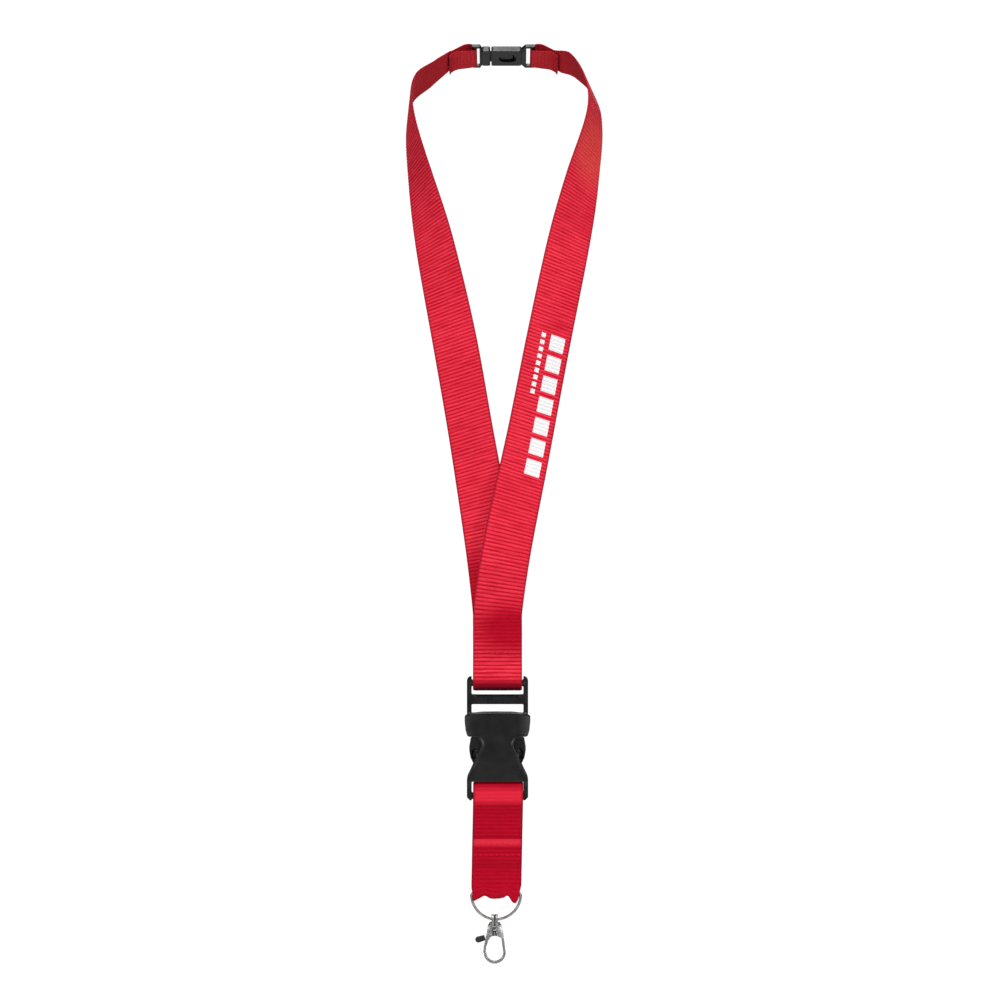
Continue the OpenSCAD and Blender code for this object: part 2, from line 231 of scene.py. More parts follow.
class NodePlan(Nodes):
    """A Geometry Nodes tree with named inputs."""

    def __init__(self, name: str, inputs: dict[str, str]) -> None:
        """Starts a tree.

        Args:
            name: the tree's name.
            inputs: each input's name and its socket type, without its "NodeSocket" prefix.
        """
        super().__init__(bpy.data.node_groups.new(name, "GeometryNodeTree"))
        for label, kind in {"Geometry": "Geometry", **inputs, "Material": "Material"}.items():
            self.tree.interface.new_socket(label, in_out="INPUT", socket_type="NodeSocket" + kind)
        self.tree.interface.new_socket("Geometry", in_out="OUTPUT", socket_type="NodeSocketGeometry")
        self.given = self.tree.nodes.new("NodeGroupInput").outputs
        self.out = self.tree.nodes.new("NodeGroupOutput").inputs

    def close(self, geometry: Socket) -> None:
        """Ends the tree with Realize Instances and Set Material.

        Args:
            geometry: what the tree has made.
        """
        real = self.add("GeometryNodeRealizeInstances", {"Geometry": geometry}).outputs[0]
        dressed = self.add("GeometryNodeSetMaterial", {"Geometry": real, "Material": self.given["Material"]})
        self.plug(dressed.outputs[0], self.out["Geometry"])

    def run(self, obj: Object, values: dict[str, object]) -> Object:
        """Runs the tree on an object and keeps the result as the object's plain mesh.

        Args:
            obj: the object whose mesh goes in.
            values: each named input's value.

        Returns:
            The same object, with no modifier left on it.
        """
        modifier = obj.modifiers.new(self.tree.name, "NODES")
        modifier.node_group = self.tree
        for item in self.tree.interface.items_tree:
            if item.in_out == "INPUT" and item.name in values:
                modifier[item.identifier] = values[item.name]
        return bake(obj)


def bake(obj: Object) -> Object:
    """Replaces an object's mesh by what its modifiers make of it.

    Args:
        obj: the object.

    Returns:
        The same object, without its modifiers.
    """
    bpy.context.view_layer.update()
    graph = bpy.context.evaluated_depsgraph_get()
    made = obj.evaluated_get(graph)
    mesh = bpy.data.meshes.new_from_object(made, preserve_all_data_layers=True, depsgraph=graph)
    obj.modifiers.clear()
    obj.data = mesh
    mesh.shade_smooth()
    return obj


# --- mesh helpers


def add_object(name: str, data: bpy.types.ID) -> Object:
    """Puts an object in the scene.

    Args:
        name: the object's name.
        data: its mesh, camera or light.

    Returns:
        The new object.
    """
    obj = bpy.data.objects.new(name, data)
    bpy.context.scene.collection.objects.link(obj)
    return obj


def mesh_object(name: str, vertices: Array, faces: list[tuple[int, ...]]) -> Object:
    """Makes a closed mesh object with its faces outwards.

    Args:
        name: the object's name.
        vertices: one row of x, y and z per vertex, in metres.
        faces: each face's vertex numbers.

    Returns:
        The new object.
    """
    mesh = bpy.data.meshes.new(name)
    mesh.from_pydata(np.asarray(vertices, float).tolist(), [], faces)
    shape = bmesh.new()
    shape.from_mesh(mesh)
    bmesh.ops.recalc_face_normals(shape, faces=shape.faces)
    shape.to_mesh(mesh)
    shape.free()
    mesh.shade_smooth()
    return add_object(name, mesh)


def arc(x: float, z: float, radius: float, first: float, last: float, count: int) -> Outline:
    """Returns the points of an arc about x and z, from one angle to another."""
    return [(x + radius * math.cos(a), z + radius * math.sin(a)) for a in np.linspace(first, last, count)]


def smooth_path(points: Array, steps: int) -> Array:
    """Runs a smooth curve through points.

    Args:
        points: one row per point; every column is carried along.
        steps: how many steps there are between two neighbours.

    Returns:
        The rows of the curve.
    """
    padded = np.vstack([2 * points[0] - points[1], points, 2 * points[-1] - points[-2]])
    rows = []
    for a, b, c, d in zip(padded, padded[1:], padded[2:], padded[3:]):
        bend, twist = 2 * a - 5 * b + 4 * c - d, 3 * b - a - 3 * c + d
        for t in np.arange(steps) / steps:
            rows.append(0.5 * (2 * b + (c - a) * t + bend * t**2 + twist * t**3))
    return np.array(rows + [points[-1]])


def distances(points: Array) -> Array:
    """Returns each point's distance along a path from its first point."""
    return np.concatenate([[0.0], np.cumsum(np.linalg.norm(np.diff(points[:, :3], axis=0), axis=1))])


def resample(path: Array, step: float) -> Array:
    """Lays a path's points an even step apart.

    Args:
        path: one row per point; every column is carried along.
        step: about how far apart the new points are.

    Returns:
        The new rows.
    """
    reach = distances(path)
    marks = np.linspace(0, reach[-1], int(round(reach[-1] / step)) + 1)
    return np.stack([np.interp(marks, reach, column) for column in path.T], axis=1)


def unit(vectors: Array) -> Array:
    """Returns the vectors at length one."""
    return vectors / np.linalg.norm(vectors, axis=-1, keepdims=True)


def tangents(path: Array, closed: bool = False) -> Array:
    """Finds the direction of a path.

    Args:
        path: one row per point.
        closed: whether the last point joins the first.

    Returns:
        The direction at each point.
    """
    if closed:
        return unit(np.roll(path, -1, 0) - np.roll(path, 1, 0))
    return unit(np.vstack([path[1:], path[-1:]]) - np.vstack([path[:1], path[:-1]]))


def skin(count: int, sides: int, closed: bool = False) -> list[tuple[int, ...]]:
    """Joins rings of vertices into faces.

    Args:
        count: how many rings there are.
        sides: how many vertices each ring has.
        closed: whether the last ring joins the first; if not, both ends are capped.

    Returns:
        Each face's vertex numbers.
    """
    faces = []
    for i in range(count if closed else count - 1):
        j = (i + 1) % count
        for k in range(sides):
            m = (k + 1) % sides
            faces.append((i * sides + k, i * sides + m, j * sides + m, j * sides + k))
    if not closed:
        faces += [tuple(range(sides)), tuple((count - 1) * sides + k for k in range(sides))]
    return faces


def tube(name: str, path: Array, radius: float, sides: int = 20, closed: bool = False) -> Object:
    """Sweeps a round wire along a path.

    Args:
        name: the object's name.
        path: the wire's centre line, in millimetres.
        radius: the wire's radius, in millimetres.
        sides: how many sides its section has.
        closed: whether the wire's last point joins its first.

    Returns:
        The wire as a closed mesh.
    """
    along = tangents(path, closed)
    normals = [unit(np.cross(along[0], [0.0, 1.0, 0.0]))]
    for direction in along[1:]:
        normals.append(unit(normals[-1] - direction * (normals[-1] @ direction)))
    out = np.array(normals)[:, None]
    up = np.cross(along, out[:, 0])[:, None]
    angles = np.arange(sides)[:, None] * 2 * math.pi / sides
    rings = path[:, None] + radius * (np.cos(angles) * out + np.sin(angles) * up)
    return mesh_object(name, rings.reshape(-1, 3) * MM, skin(len(path), sides, closed))


def recast(node: str, name: str, voxel: float, rounds: int = 3) -> Object:
    """Makes a moulded or cast copy of a CAD node, with its edges softened.

    Args:
        node: the CAD node.
        name: the new object's name.
        voxel: the size of the new mesh's faces, in millimetres.
        rounds: how many times the mesh is relaxed.

    Returns:
        The copy; the node itself is left alone.
    """
    obj = add_object(name, frame["nodes"][node].data.copy())
    shape = bmesh.new()
    shape.from_mesh(obj.data)
    bmesh.ops.remove_doubles(shape, verts=shape.verts, dist=1e-6)
    shape.to_mesh(obj.data)
    shape.free()
    remesh = obj.modifiers.new("Recast", "REMESH")
    remesh.mode = "VOXEL"
    remesh.voxel_size = voxel * MM
    remesh.use_smooth_shade = True
    relax = obj.modifiers.new("Relax", "SMOOTH")
    relax.factor = 0.5
    relax.iterations = rounds
    return bake(obj)


def measured(piece: Object, centre: Triple) -> tuple[Array, ...]:
    """Measures a piece's vertices.

    Args:
        piece: the piece.
        centre: the point to measure from, in millimetres.

    Returns:
        The vertices, one row each, and their x, y and z from the centre, in millimetres.
    """
    flat = np.zeros(len(piece.data.vertices) * 3)
    piece.data.vertices.foreach_get("co", flat)
    rows = flat.reshape(-1, 3) / MM
    return rows, *(rows - np.array(centre)).T


def move_vertices(piece: Object, rows: Array) -> None:
    """Puts a piece's vertices at the given rows, in millimetres."""
    piece.data.vertices.foreach_set("co", (rows * MM).ravel())
    piece.data.update()


def mark(obj: Object, name: str, values: Array) -> None:
    """Stores a number on each vertex."""
    obj.data.attributes.new(name, "FLOAT", "POINT").data.foreach_set("value", values.ravel())


def stand_in(obj: Object, node: str) -> None:
    """Lets a piece replace a CAD node and ride on its body.

    Args:
        obj: the piece.
        node: the CAD node.
    """
    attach(obj, frame["nodes"][node]["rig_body"])
    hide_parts(node)
    LOG.info("%s stands for %s", obj.name, node)


def dress(obj: Object, material: Material, node: str) -> None:
    """Gives a piece its material and the CAD node that it stands for.

    Args:
        obj: the piece.
        material: its finish.
        node: the CAD node.
    """
    obj.data.materials.clear()
    obj.data.materials.append(material)
    stand_in(obj, node)


# --- finishes


@dataclass(frozen=True)
class Patch:
    """An ellipsoid, in millimetres, in which the webbing's colour changes softly: painted shade or a painted
    highlight.
    """

    centre: Triple
    radii: Triple
    colour: Colour
    strength: float = 0.9

    def reach(self, shader: Shader) -> Socket:
        """Measures how strongly the patch covers the place that is shaded.

        Args:
            shader: the material's nodes.

        Returns:
            The strength, full in the middle and zero at the ellipsoid's surface.
        """
        centred = shader.add("ShaderNodeMapping", {
            "Vector": shader.place(),
            "Location": [v * MM for v in self.centre],
            "Scale": [v * MM for v in self.radii],
        }, vector_type="TEXTURE")
        far = shader.add("ShaderNodeVectorMath", {0: centred.outputs[0]}, operation="LENGTH").outputs["Value"]
        return shader.spread(far, 0.4, 1.0, self.strength, 0.0)


# Painted shade on the webbing: this dark red is painted shade in the yoke, in the shadow behind the crossing
# strap and round the bight, and also the tone of the webbing's random clouds.
SHADE_AND_MOTTLE_RED = (0.41, 0.0006, 0.014, 1)
# painted shade where the straps at the yoke face away from the light
YOKE_SHADE = Patch((6.5, FRONT_Y - 1.3, -317.2), (25, 20, 17.5), SHADE_AND_MOTTLE_RED, 0.97)
# painted shadow of the front strap on the left strap behind it
BEHIND_SHADOW = Patch((-11.5, FRONT_Y + 4, -296), (8, 30, 24), SHADE_AND_MOTTLE_RED, 0.85)
# painted shade fading in round the bottom of the bight, deepened by the painted shade below
BIGHT_HALF_SHADE = Patch((0, FRONT_Y - 2, -346.5), (60, 40, 5.4), SHADE_AND_MOTTLE_RED, 0.95)
BIGHT_SHADE = Patch((0, FRONT_Y - 2, -349.8), (60, 40, 7.2), (0.03, 0.0003, 0.003, 1), 0.95)
# painted sheen highlight on the right strap near the nape
NAPE_HIGHLIGHT = Patch((52, -58, -64), (16, 40, 26), (0.78, 0.085, 0.065, 1), 0.5)
# painted highlight where the drop strap turns over the buckle's bar
DROP_TOP_HIGHLIGHT = Patch((0, FRONT_Y - 3, -400.6), (60, 40, 5.0), (0.78, 0.022, 0.05, 1), 0.75)
# painted highlight along the top edge of the drop strap's flap
FLAP_HIGHLIGHT = Patch((0, FRONT_Y - 3, -423.6), (60, 2.4, 2.6), (0.76, 0.03, 0.06, 1), 0.75)


class Finish:
    """What the finishes share: each has a name, and describes its surface."""

    name: str

    def surface(self, shader: Shader) -> dict[str, object]:
        """Returns what goes into each named input of the surface; each finish has its own."""
        raise NotImplementedError

    def material(self) -> Material:
        """Builds the material and returns it."""
        shader = Shader(self.name)
        return shader.finish(self.surface(shader))


@dataclass(frozen=True)
class WebbingFinish(Finish):
    """Dyed ribbed webbing: bright on its ribs, with painted shade in its grooves, along its edges and towards
    the nape, painted shade and highlights in its patches, and a printed motif on one strap.
    """

    name: str = "red_webbing"
    rib_red: Colour = (0.77, 0.036, 0.066, 1)
    groove_shade_red: Colour = (0.45, 0.0035, 0.018, 1)
    shaded_red: Colour = (0.36, 0.014, 0.020, 1)
    selvedge_shade_red: Colour = (0.26, 0.003, 0.014, 1)
    ink: Colour = (0.74, 0.74, 0.75, 1)
    printed: bool = False
    patches: tuple[Patch, ...] = (YOKE_SHADE, NAPE_HIGHLIGHT)
    yarn_pitch: float = 0.42
    # each row's centre and half width across, first and last place along, pitch and inked share
    motif_rows: tuple[tuple[float, ...], ...] = (
        (-4.9, 4.1, 89.6, 168.5, 11.7, 0.74),
        (3.4, 1.2, 133.5, 168.0, 4.0, 0.62),
    )

    def surface(self, shader: Shader) -> dict[str, object]:
        """Describes the surface.

        Args:
            shader: the material's nodes.

        Returns:
            What goes into each named input.
        """
        across, along, rib = (shader.attribute(name) for name in ("over", "along", "rib"))
        thread = shader.vector(shader.times(across, 90.0), shader.times(along, 1100.0))
        streaks = shader.noise(thread, 1.0)
        clouds = shader.noise(shader.place(), 28.0, 2.0)
        # the grooves take the darker groove colour: painted shade, broken by random streaks
        depth = shader.math("ADD", rib, shader.spread(streaks, 0.3, 0.7, -0.4, 0.28))
        colour = shader.mix(shader.spread(depth, 0.25, 1.0, 0.0, 1.0), self.groove_shade_red, self.rib_red)
        colour = shader.mix(shader.spread(clouds, 0.4, 0.75, 0.0, 0.3), colour, SHADE_AND_MOTTLE_RED)
        colour = shader.mix(shader.spread(along, 0.29, 0.335, 0.0, 0.8), colour, self.shaded_red)
        # each patch paints shade or a highlight
        for patch in self.patches:
            colour = shader.mix(patch.reach(shader), colour, patch.colour)
        # both edges darken: painted shade at the selvedges
        edge = shader.spread(shader.math("ABSOLUTE", across), 0.0112, 0.0124, 0.0, 0.9)
        colour = shader.mix(edge, colour, self.selvedge_shade_red)
        if self.printed:
            colour = shader.mix(self.motif(shader, across, along, rib), colour, self.ink)
        yarn = shader.math("SINE", shader.times(across, 2 * math.pi / (self.yarn_pitch * MM)))
        fibres = shader.noise(shader.place(), 5200.0, 4.0, 0.6)
        weave = shader.math("ADD", shader.times(yarn, 0.5), fibres)
        return {
            "Base Color": colour,
            "Roughness": shader.spread(streaks, 0.3, 0.7, 0.62, 0.48),
            "Normal": shader.bump(weave, 0.45, 0.00008),
            "Sheen Weight": 0.03,
            "Sheen Roughness": 0.4,
            "Sheen Tint": (1.0, 0.4, 0.4, 1),
            "Specular IOR Level": 0.05,
        }

    def motif(self, shader: Shader, across: Socket, along: Socket, rib: Socket) -> Socket:
        """Draws the plain motif: a row of blocks and a row of short dashes beside it.

        Args:
            shader: the material's nodes.
            across: the place across the strap.
            along: the place along the strap.
            rib: the height of the rib, from 0 in a groove to 1.

        Returns:
            How much ink there is.
        """
        ink: object = 0.0
        for centre, half, first, last, pitch, share in self.motif_rows:
            beside = shader.math("COMPARE", across, centre * MM, half * MM)
            within = shader.math("COMPARE", along, (first + last) / 2 * MM, (last - first) / 2 * MM)
            from_first = shader.math("SUBTRACT", along, first * MM)
            turn = shader.math("FRACT", shader.math("DIVIDE", from_first, pitch * MM))
            inked = shader.math("LESS_THAN", turn, share)
            block = shader.times(beside, within, inked)
            ink = shader.math("MAXIMUM", ink, block)
        front = shader.math("GREATER_THAN", shader.attribute("facing"), 0.2)
        worn = shader.spread(rib, 0.05, 0.5, 0.72, 1.0)
        return shader.times(ink, front, worn)


@dataclass(frozen=True)
class ThreadFinish(Finish):
    """Sewing thread, a little brighter than the webbing, with its twist."""

    name: str = "red_thread"
    colour: Colour = (0.74, 0.035, 0.07, 1)
    shade: Colour = (0.5, 0.006, 0.025, 1)

    def surface(self, shader: Shader) -> dict[str, object]:
        """Describes the surface.

        Args:
            shader: the material's nodes.

        Returns:
            What goes into each named input.
        """
        twist = shader.noise(shader.place(), 2600.0, 2.0)
        return {
            "Base Color": shader.mix(shader.spread(twist, 0.35, 0.65, 0, 1), self.shade, self.colour),
            "Roughness": shader.spread(twist, 0.3, 0.7, 0.42, 0.6),
            "Normal": shader.bump(twist, 0.5, 0.00006),
            "Specular IOR Level": 0.15,
        }


@dataclass(frozen=True)
class PlasticFinish(Finish):
    """Moulded plastic with a fine satin grain."""

    name: str = "black_plastic"
    colour: Colour = (0.0013, 0.0013, 0.0013, 1)
    worn: Colour = (0.004, 0.004, 0.0042, 1)
    roughness: float = 0.36
    grain: float = 0.16

    def surface(self, shader: Shader) -> dict[str, object]:
        """Describes the surface.

        Args:
            shader: the material's nodes.

        Returns:
            What goes into each named input.
        """
        cloud = shader.noise(shader.place(), 160.0, 4.0)
        grain = shader.noise(shader.place(), 4200.0, 2.0)
        return {
            "Base Color": shader.mix(shader.spread(cloud, 0.35, 0.7, 0, 1), self.colour, self.worn),
            "Roughness": shader.spread(cloud, 0.3, 0.7, self.roughness - 0.05, self.roughness + 0.07),
            "Normal": shader.bump(grain, self.grain, 0.00005),
            "Specular IOR Level": 0.4,
        }


@dataclass(frozen=True)
class SteelFinish(Finish):
    """Nickel-plated metal with fine rubbing marks, a little dullness and painted shade in its sunk grooves.
    """

    name: str = "nickel_plate"
    bright: Colour = (0.74, 0.735, 0.73, 1)
    dull: Colour = (0.52, 0.515, 0.51, 1)
    sunk_shade: Colour = (0.045, 0.045, 0.045, 1)
    roughness: tuple[float, float] = (0.17, 0.32)

    def surface(self, shader: Shader) -> dict[str, object]:
        """Describes the surface.

        Args:
            shader: the material's nodes.

        Returns:
            What goes into each named input.
        """
        cloud = shader.noise(shader.place(), 420.0, 4.0)
        rubbed = shader.add("ShaderNodeMapping", {
            "Vector": shader.place(), "Scale": (1.0, 1.0, 0.12), "Rotation": (0.2, 0.5, 0.0),
        })
        marks = shader.noise(rubbed.outputs[0], 5200.0, 3.0, 0.65)
        plated = shader.mix(shader.spread(cloud, 0.35, 0.7, 0, 1), self.bright, self.dull)
        # the sunk grooves turn near black: painted shade
        sunk = shader.times(shader.attribute("sunk"), 0.9)
        return {
            "Base Color": shader.mix(sunk, plated, self.sunk_shade),
            "Roughness": shader.spread(marks, 0.3, 0.75, *self.roughness),
            "Normal": shader.bump(marks, 0.12, 0.00003),
            "Metallic": 1.0,
        }


# --- webbing


@dataclass
class Cloth:
    """Ribbed webbing: its thickness, the pitch and height of its ribs, and how finely it is meshed."""

    width: float = 25.0
    thickness: float = 1.2
    rib_pitch: float = 1.95
    rib_height: float = 0.32
    steps_per_rib: int = 6
    columns: tuple[float, ...] = (
        -0.5, -0.492, -0.47, -0.4, -0.3, -0.2, -0.1, 0.0, 0.1, 0.2, 0.3, 0.4, 0.47, 0.492, 0.5,
    )
    plan: NodePlan = field(init=False)

    def __post_init__(self) -> None:
        """Builds the Geometry Nodes tree that raises the ribs, lower where the straps near the nape."""
        plan = NodePlan("Webbing ribs", {"Rib Pitch": "Float", "Rib Height": "Float", "Seed": "Float"})
        given = plan.given
        along, lift = (
            plan.add("GeometryNodeInputNamedAttribute", {"Name": name}, data_type=kind).outputs[0]
            for name, kind in (("along", "FLOAT"), ("lift", "FLOAT_VECTOR"))
        )
        phase = plan.times(plan.math("DIVIDE", along, given["Rib Pitch"]), math.pi)
        rib = plan.math("POWER", plan.math("ABSOLUTE", plan.math("SINE", phase)), 0.75)
        noise = plan.add(
            "ShaderNodeTexNoise", {"W": given["Seed"], "Scale": 210.0, "Detail": 2.0}, noise_dimensions="4D"
        )
        uneven = plan.math("ADD", 0.62, plan.times(noise.outputs[0], 0.7))
        calm = plan.spread(along, 0.29, 0.34, 1.0, 0.18)
        height = plan.times(given["Rib Height"], calm, uneven)
        stored = plan.add("GeometryNodeStoreNamedAttribute", {
            "Geometry": given["Geometry"], "Name": "rib", "Value": rib,
        }, data_type="FLOAT", domain="POINT")
        rise = {0: lift, "Scale": plan.times(rib, height)}
        offset = plan.add("ShaderNodeVectorMath", rise, operation="SCALE").outputs[0]
        moved = plan.add("GeometryNodeSetPosition", {"Geometry": stored.outputs[0], "Offset": offset})
        plan.close(moved.outputs[0])
        self.plan = plan

    def strip(
        self, name: str, path: Array, across: Array, widths: Array, material: Material,
        sag: Array | None = None,
    ) -> Object:
        """Makes one length of webbing along a path.

        Args:
            name: the piece's name.
            path: points in millimetres, at an even step.
            across: the direction across the webbing at each point.
            widths: the webbing's width at each point, in millimetres.
            material: its finish.
            sag: an extra move of each vertex column at each point, in millimetres.

        Returns:
            The webbing as one closed, ribbed mesh.
        """
        along = tangents(path)
        across = unit(across - along * (across * along).sum(1)[:, None])
        normal = np.cross(along, across)
        half = self.thickness / 2 - self.rib_height
        columns = np.array(self.columns)
        inner = np.arange(1, len(columns) - 1)
        rounding = np.ones(len(columns))
        rounding[[0, -1]] = 0
        rounding[[1, -2]] = 0.72
        order = np.concatenate([np.arange(len(columns)), inner[::-1]])
        facing = np.concatenate([np.sign(rounding), -np.ones(len(inner))])
        offset = facing * rounding[order]
        over = columns[order] * widths[:, None]
        spots = path[:, None] + across[:, None] * over[:, :, None] + normal[:, None] * offset[:, None] * half
        if sag is not None:
            spots = spots + sag[:, order]
        count, sides = len(path), len(order)
        obj = mesh_object(name, spots.reshape(-1, 3) * MM, skin(count, sides))
        lift = normal[:, None] * np.where(rounding[order] > 0.9, facing, 0)[:, None]
        mark(obj, "along", np.repeat(distances(path), sides) * MM)
        mark(obj, "over", over * MM)
        mark(obj, "facing", np.tile(offset, count))
        obj.data.attributes.new("lift", "FLOAT_VECTOR", "POINT").data.foreach_set("vector", lift.ravel())
        self.plan.run(obj, {
            "Rib Pitch": self.rib_pitch * MM, "Rib Height": self.rib_height * MM, "Seed": 4.0,
            "Material": material,
        })
        return obj

    def step(self) -> float:
        """Returns the distance between two stations, in millimetres."""
        return self.rib_pitch / self.steps_per_rib

    def hang(self, outline: Outline, x: float = 0.0) -> tuple[Array, Array]:
        """Lays out a strip whose face looks straight forwards.

        Args:
            outline: the strip's path as y, from the front plane, and z.
            x: where the strip's middle is.

        Returns:
            The points of the path at an even step, and the direction across the strip at each.
        """
        points = np.array([[x, FRONT_Y + y, z] for y, z in outline])
        rows = resample(smooth_path(points, 12), self.step())
        return rows, np.tile([1.0, 0, 0], (len(rows), 1))


@dataclass
class Thread:
    """Rows of stitches, laid by Geometry Nodes."""

    radius: float = 0.2
    plan: NodePlan = field(init=False)

    def __post_init__(self) -> None:
        """Builds the tree that lays one row of stitches on each face of the cloth."""
        plan = NodePlan("Stitch rows", {
            "Stitches": "Int", "Pitch": "Float", "Stitch Length": "Float", "Thread Radius": "Float",
            "Slant": "Float", "Front": "Vector", "Back": "Vector", "Turn": "Rotation",
        })
        given = plan.given
        count, pitch, radius = given["Stitches"], given["Pitch"], given["Thread Radius"]
        first = plan.times(plan.math("SUBTRACT", count, 1.0), pitch, -0.5)
        line = plan.add("GeometryNodeMeshLine", {
            "Count": count, "Start Location": plan.vector(first), "Offset": plan.vector(pitch),
        }, mode="OFFSET")
        stitch = plan.add("GeometryNodeMeshUVSphere", {"Segments": 8, "Rings": 6, "Radius": 1.0})
        half = plan.times(given["Stitch Length"], 0.5)
        shaped = plan.add("GeometryNodeTransform", {
            "Geometry": stitch.outputs[0], "Scale": plan.vector(half, radius, radius),
        })
        odd = plan.math("MODULO", plan.add("GeometryNodeInputIndex").outputs[0], 2.0)
        flip = plan.math("SUBTRACT", plan.times(odd, 2.0), 1.0)
        lean = plan.add("FunctionNodeEulerToRotation", {
            "Euler": plan.vector(0.0, plan.times(flip, given["Slant"]), 0.0),
        })
        row = plan.add("GeometryNodeInstanceOnPoints", {
            "Points": line.outputs[0], "Instance": shaped.outputs[0], "Rotation": lean.outputs[0],
        }).outputs[0]
        join = plan.add("GeometryNodeJoinGeometry")
        for face in ("Back", "Front"):
            placed = plan.add("GeometryNodeTransform", {
                "Geometry": row, "Translation": given[face], "Rotation": given["Turn"],
            })
            plan.plug(placed.outputs[0], join.inputs[0])
        plan.close(join.outputs[0])
        self.plan = plan

    def sew(
        self, name: str, front: Triple, back: Triple, axes: Matrix, stitches: int, pitch: float,
        length: float, slant: float, material: Material,
    ) -> Object:
        """Sews one row of stitches on both faces of the cloth.

        Args:
            name: the piece's name.
            front: the middle of the row on the front face, in millimetres.
            back: the middle of the row on the back face.
            axes: the row's direction, the cloth's normal and the direction across the row.
            stitches: how many stitches the row has.
            pitch: the distance between them, in millimetres.
            length: one stitch's length.
            slant: how far every other stitch leans, in degrees.
            material: the thread's finish.

        Returns:
            The row as one mesh.
        """
        return self.plan.run(mesh_object(name, np.zeros((0, 3)), []), {
            "Stitches": stitches, "Pitch": pitch * MM, "Stitch Length": length * MM,
            "Thread Radius": self.radius * MM, "Slant": math.radians(slant), "Front": Vector(front) * MM,
            "Back": Vector(back) * MM, "Turn": axes.to_euler(), "Material": material,
        })


def join(first: Object, others: list[Object]) -> Object:
    """Joins meshes into one.

    Args:
        first: the object that stays.
        others: the objects that it takes in.

    Returns:
        The first object.
    """
    shape = bmesh.new()
    for obj in [first, *others]:
        shape.from_mesh(obj.data)
    shape.to_mesh(first.data)
    shape.free()
    for obj in others:
        bpy.data.objects.remove(obj)
    return first


def on_clip(x: float, depth: float) -> list[float]:
    """Returns a point given on the clip: x, and how far it is behind the clip's middle plane."""
    return [x, depth * math.cos(CLIP_LEAN), depth * math.sin(CLIP_LEAN)]


